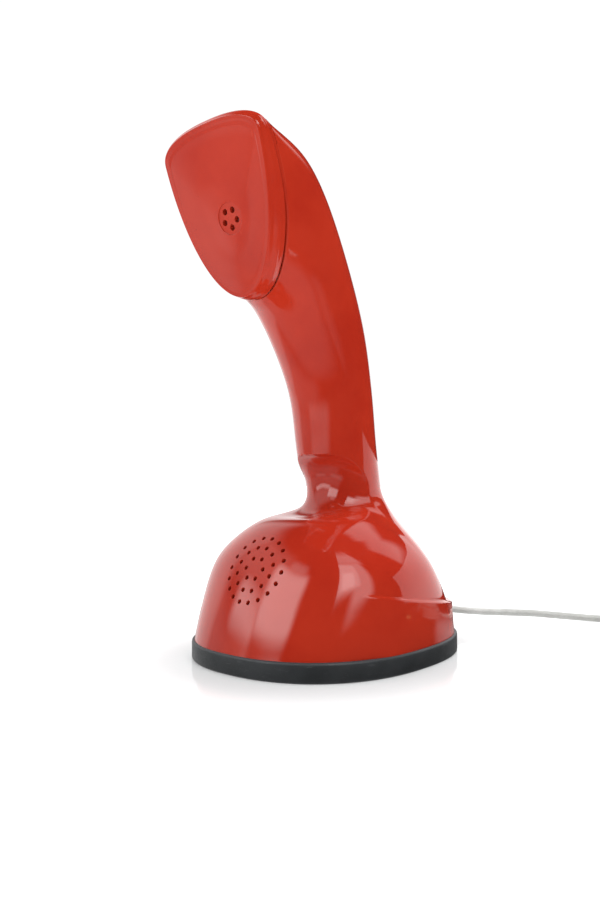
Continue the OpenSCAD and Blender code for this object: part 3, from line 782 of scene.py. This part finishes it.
def coil_points():
    """Turns laid out and in, row on row, clockwise from the north side to the east side."""
    places = []
    for row in range(COIL_ROWS):
        cols = range(COIL_COLS) if row % 2 == 0 else range(COIL_COLS - 1, -1, -1)
        places += [(COIL_R + (1 - c) * CORD_D, CORD_D * (row + 0.5)) for c in cols]
    turns = len(places) - 0.75
    out = []
    for k in range(int(turns * PER_TURN) + 1):
        t = k / PER_TURN
        i = min(int(t), len(places) - 1)
        step = smooth01((t - i - (1 - CROSSOVER)) / CROSSOVER)
        r0, z0 = places[i]
        r1, z1 = places[min(i + 1, len(places) - 1)]
        r, z = r0 + (r1 - r0) * step, z0 + (z1 - z0) * step
        a = math.pi / 2 - 2 * math.pi * t
        out.append((COIL_C[0] + r * math.cos(a), COIL_C[1] + r * math.sin(a), z))
    return out


def make_cord(finishes, plug):
    """The line cord with its tie. The plug argument is not used."""
    pts = ROUTE + coil_points() + TAIL
    curve = bpy.data.curves.new("line_cord", "CURVE")
    curve.dimensions = "3D"
    curve.resolution_u = 4
    curve.bevel_depth = CORD_D / 2 * MM
    curve.bevel_resolution = 5
    curve.use_fill_caps = True
    spline = curve.splines.new("BEZIER")
    spline.bezier_points.add(len(pts) - 1)
    for b, p in zip(spline.bezier_points, pts):
        b.co = Vector(p) * MM
        b.handle_left_type = b.handle_right_type = "AUTO"
    obj = bpy.data.objects.new("line_cord", curve)
    bpy.context.scene.collection.objects.link(obj)
    obj.data.materials.append(finishes["cord_grey"])
    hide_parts("cord_lead", "cord_coil", "cord_tail")
    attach(obj, "telephone")
    tie = make_tie(finishes)


TIE_THICK, TIE_HALF_W = 0.7, 3.0
TIE_N = 6.25  # how square its loop is


def make_tie(finishes):
    """A flat rubber band round the coil's east side."""
    half, top = COIL_COLS * CORD_D / 2, COIL_ROWS * CORD_D
    a = full_turn(48)

    def loop(x_out, z_low, z_high, y):
        x = COIL_C[0] + COIL_R + x_out * bent(np.cos(a), TIE_N)
        z = (z_low + z_high) / 2 + (z_high - z_low) / 2 * bent(np.sin(a), TIE_N)
        return np.stack([x, np.full(len(a), COIL_C[1] + y), z], axis=1) * MM

    inner = (half + 0.05, 0.05, top + 0.05)
    outer = (half + TIE_THICK, 0.0, top + TIE_THICK)
    loops = [
        loop(*inner, -TIE_HALF_W), loop(*outer, -TIE_HALF_W + 0.15),
        loop(*outer, TIE_HALF_W - 0.15), loop(*inner, TIE_HALF_W),
    ]
    pts, faces = skin(loops, closed=True)
    obj = mesh_object("coil_band", pts, faces)
    recalculate(obj)
    sharpen(obj, 45)
    wear(obj, finishes["black_rubber"])
    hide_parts("coil_tie")
    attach(obj, "telephone")
    return obj


def make_plug(finishes):
    """Moulded plug: rounded body with finger ridges, and a ribbed sleeve where the cord enters."""
    cx, cy, cz = TAIL[-1]
    a = full_turn(72)

    def loop(half_w, half_h, y, n=4.0):
        x, z = half_w * bent(np.cos(a), n), half_h * bent(np.sin(a), n)
        return np.stack([cx + x, np.full(len(a), cy + y), cz + z], axis=1) * MM

    rings = [loop(4.0, 3.2, 0.0, 2.0), loop(5.2, 4.0, -0.4, 2.2), loop(6.4, 4.6, -1.6, 2.6)]
    rings += [loop(7.6, 5.2, -3.4, 3.2), loop(8.4, 5.6, -5.2)]
    for k in range(5):
        y = -6.4 - 2.0 * k
        rings += [loop(8.5, 5.7, y), loop(8.9, 5.95, y - 0.35)]
        rings += [loop(8.9, 5.95, y - 1.0), loop(8.5, 5.7, y - 1.3)]
    rings += [loop(8.9, 5.95, -17.2), loop(8.95, 6.0, -18.5), loop(8.95, 6.0, -21.3)]
    rings += [loop(8.6, 5.7, -21.9), loop(7.9, 5.0, -22.0)]
    pts, faces = skin(rings)
    body = mesh_object("plug_body", pts, faces)
    recalculate(body)
    sharpen(body, 35)
    wear(body, finishes["dark_plastic"])
    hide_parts("cord_plug")
    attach(body, "telephone")

    r = CORD_D / 2
    profile = [(r + 0.15, 6.2), (r + 0.75, 6.0), (r + 0.8, 5.4), (r + 0.45, 5.2), (r + 0.45, 4.7)]
    profile += [(r + 1.15, 4.5), (r + 1.2, 3.9), (r + 0.8, 3.7), (r + 0.8, 3.1), (r + 1.5, 2.9)]
    profile += [(r + 1.6, 2.2), (r + 1.2, 2.0), (r + 1.2, 1.4), (r + 2.0, 1.2)]
    profile += [(r + 2.2, 0.3), (r + 2.2, -1.0)]
    pts, faces = skin(lathe_rings(profile, 40))
    slope = math.atan2(0.5, 6)  # that of the cord's last run into the plug
    m = Matrix.Translation((cx, cy, cz)) @ Matrix.Rotation(-math.pi / 2 + slope, 4, "X")
    sleeve = mesh_object("plug_sleeve", moved(pts, m) * MM, faces)
    recalculate(sleeve)
    sharpen(sleeve, 35)
    wear(sleeve, finishes["dark_plastic"])
    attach(sleeve, "telephone")
    return [body, sleeve]


# ---- dial under the foot ----
def make_figures(finishes):
    """Generic figures 1 to 0 on the number ring, read from below."""
    paint = number_paint()
    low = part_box("number_ring")[0]
    for i in range(10):
        digit = str((i + 1) % 10)
        a = math.radians(270 - 30 * i)
        data = bpy.data.curves.new("figure_" + digit, "FONT")
        data.body = digit
        data.size = FIGURE_SIZE * MM
        data.align_x = "CENTER"
        data.align_y = "CENTER"
        data.extrude = 0.04 * MM
        text = bpy.data.objects.new("figure_" + digit, data)
        bpy.context.scene.collection.objects.link(text)
        x, y = FIGURE_REACH * math.cos(a), DIAL_Y + FIGURE_REACH * math.sin(a)
        place = Vector((x * MM, y * MM, low.z))
        flip = Matrix.Rotation(math.pi, 4, "X")
        text.matrix_world = Matrix.Translation(place) @ flip
        bpy.context.view_layer.update()
        dg = bpy.context.evaluated_depsgraph_get()
        mesh = bpy.data.meshes.new_from_object(text.evaluated_get(dg))
        mesh.transform(text.matrix_world)
        bpy.data.objects.remove(text)
        obj = bpy.data.objects.new("figure_" + digit, mesh)
        bpy.context.scene.collection.objects.link(obj)
        wear(obj, paint)
        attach(obj, "telephone")


# the CAD nodes that keep their own mesh, by finish
NODE_FINISH = {
    "red_plastic": ["finger_wheel", "plunger_button"],
    "dark_plastic": ["base_plate", "terminal_block", "hook_bracket", "cord_clamp"],
    "black_rubber": ["receiver_gasket", "transmitter_gasket", "cord_grommet"],
    "ivory_plastic": ["number_ring", "receiver_frame", "capacitor"],
    "brass": [
        "receiver_contacts", "dial_shaft", "bearing_bush", "main_gear", "idler_pinion", "idler_gear",
        "governor_weights", "hook_contacts", "impulse_springs", "terminal_screws", "plug_pins",
    ],
    "aluminium": [
        "receiver_capsule", "transmitter_capsule", "transmitter_retainer", "chassis_ring",
        "dial_plate", "dial_bridge", "governor_cup", "bridge_pillars",
    ],
    "steel": [
        "base_screws", "ring_screws", "finger_stop", "idler_arbor", "governor_arbor", "impulse_cam",
        "mainspring", "plunger_rod", "plunger_spring", "hook_lever", "hook_pin", "coil_core",
    ],
    "winding": ["coil_winding"],
    "lead_sleeving": ["receiver_leads"],
}


def finish_nodes(finishes):
    for slot, names in NODE_FINISH.items():
        for name in names:
            wear(NODES[name], finishes[slot])
            sharpen(NODES[name], 30)


# ---- studio ----
def make_floor():
    """A pale floor that mirrored rays pass through, so that the gloss shows only the panels."""
    half = 3.0
    pts = [(-half, -half, 0), (half, -half, 0), (half, half, 0), (-half, half, 0)]
    obj = mesh_object("studio_floor", pts, [(0, 1, 2, 3)], smooth=False)
    wear(obj, floor_paper())
    obj.visible_glossy = False


# Soft panels that only mirrored rays see. Each has an azimuth range, an elevation range, a
# brightness and the softness of its edges. Angles are in degrees, and azimuth runs clockwise
# from the camera's heading, so 0 is straight behind the telephone.
PANELS = [
    ((-66, -14), (-12, 52), 1.15, 8),
    ((-60, -14), (-50, -4), 1.00, 9),
    ((-139, -100), (22, 42), 4.60, 4),
    ((-134, -112), (38, 50), 1.90, 5),
    ((-102, -80), (18, 27), 3.40, 4),
    ((-138, -92), (-13, -1), 1.20, 8),
    ((-40, 6), (-6, 21), 1.10, 5),
    ((-136, -62), (-6, 18), 0.60, 8),
    ((-112, -62), (24, 52), 0.90, 8),
    ((-118, -56), (-36, -2), 0.45, 10),
    ((22, 52), (45, 68), 1.35, 4),
    ((45, 69), (32, 62), 1.35, 4),
    ((-2, 24), (4, 14), 0.60, 4),
    ((20, 62), (-17, -9), 0.60, 4),
    ((136, 162), (13, 66), 3.00, 5),
    ((150, 184), (25, 64), 4.60, 5),
    ((157, 178), (27, 51), 6.20, 4),
    ((128, 184), (62, 80), 2.60, 6),
    ((120, 162), (-38, -27), 0.40, 6),
    ((-200, 200), (-75, -38), 0.55, 8),
]
FILL = 0.02  # what mirrored rays see between the panels
EVEN = 0.60  # soft light from all round on matt surfaces
PAPER = 1.04  # the pale backdrop itself
WHITE = (1, 1, 1, 1)


def make_world():
    """Panels for mirrored rays, even light for diffuse ones and white paper for the camera."""
    world = bpy.data.worlds.new("studio")
    bpy.context.scene.world = world
    world.use_nodes = True
    world.node_tree.nodes.clear()
    n = Nodes(world.node_tree)
    coords = n.node("ShaderNodeTexCoord").outputs["Generated"]

    def towards(direction):
        """How far the ray points in this direction, -1 to 1."""
        d = n.node("ShaderNodeVectorMath", operation="DOT_PRODUCT")
        n.link(coords, d.inputs[0])
        d.inputs[1].default_value = direction
        return d.outputs["Value"]

    def inside(value, low, high, soft):
        """1 between low and high, falling off over soft degrees each side of both."""
        rising = n.ramp(value, low - soft, low + soft, 0.0, 1.0)
        falling = n.ramp(value, high - soft, high + soft, 1.0, 0.0)
        return n.maths("MULTIPLY", rising, falling)

    def background(strength):
        b = n.node("ShaderNodeBackground")
        b.inputs["Color"].default_value = WHITE
        if isinstance(strength, float):
            b.inputs["Strength"].default_value = strength
        else:
            n.link(strength, b.inputs["Strength"])
        return b.outputs[0]

    def either(test, if_not, if_so):
        m = n.node("ShaderNodeMixShader")
        n.link(rays.outputs[test], m.inputs[0])
        n.link(if_not, m.inputs[1])
        n.link(if_so, m.inputs[2])
        return m.outputs[0]

    ct, st = math.cos(CAM_TURN), math.sin(CAM_TURN)
    heading = n.maths("ARCTAN2", towards((ct, st, 0)), towards((-st, ct, 0)))
    azimuth = n.maths("DEGREES", heading)
    elevation = n.maths("DEGREES", n.maths("ARCSINE", towards((0, 0, 1))))
    total = 0.0
    for (a0, a1), (e0, e1), bright, soft in PANELS:
        box = n.maths("MULTIPLY", inside(azimuth, a0, a1, soft), inside(elevation, e0, e1, soft))
        total = n.maths("MAXIMUM", total, n.maths("MULTIPLY", box, bright))
    rays = n.node("ShaderNodeLightPath")
    unmirrored = either("Is Diffuse Ray", background(PAPER), background(EVEN))
    seen = either("Is Glossy Ray", unmirrored, background(n.maths("ADD", total, FILL)))
    out = n.node("ShaderNodeOutputWorld")
    n.link(seen, out.inputs["Surface"])


def area_lamp(name, place, target, watts):
    """An area lamp aimed at a point."""
    data = bpy.data.lights.new(name, "AREA")
    data.energy = watts
    lamp = bpy.data.objects.new(name, data)
    bpy.context.scene.collection.objects.link(lamp)
    lamp.location = place
    aim = Vector(target) - Vector(place)
    lamp.rotation_euler = aim.to_track_quat("-Z", "Y").to_euler()
    return lamp


def make_lamps():
    """Two soft lamps that only shape the diffuse light: one from the left front, one above."""
    for name, place, target, diameter, watts in (
        ("key", (-0.9, -0.9, 1.1), (0, 0, 0.1), 0.9, 5.0),
        ("top", (0.2, 0.2, 1.6), (0, 0, 0.0), 1.2, 24.0),
    ):
        lamp = area_lamp(name, place, target, watts)
        lamp.data.shape = "DISK"
        lamp.data.size = diameter
        lamp.data.specular_factor = 0.0
        lamp.visible_glossy = False


CARD_SIZE = (0.20, 0.070)
CARD_PLACE = (0.048, 0.090, 0.050)
CARD_TARGET = (0.018, 0.012, 0.005)
CARD_BRIGHT = 1.35


def make_card():
    """A low white card behind the foot, met by mirrored rays only."""
    width, height = CARD_SIZE
    card = area_lamp("card", CARD_PLACE, CARD_TARGET, CARD_BRIGHT * math.pi * width * height)
    card.data.shape = "RECTANGLE"
    card.data.size, card.data.size_y = width, height
    card.data.diffuse_factor = 0.0
    card.visible_camera = False
    card.visible_diffuse = False


make_camera()
FINISHES = make_finishes()
make_cord(FINISHES, make_plug(FINISHES))
make_shell(FINISHES)
make_cap(FINISHES)
make_foot(FINISHES)
make_figures(FINISHES)
finish_nodes(FINISHES)
make_floor()
make_world()
make_lamps()
make_card()
bpy.context.scene.view_settings.view_transform = "Standard"
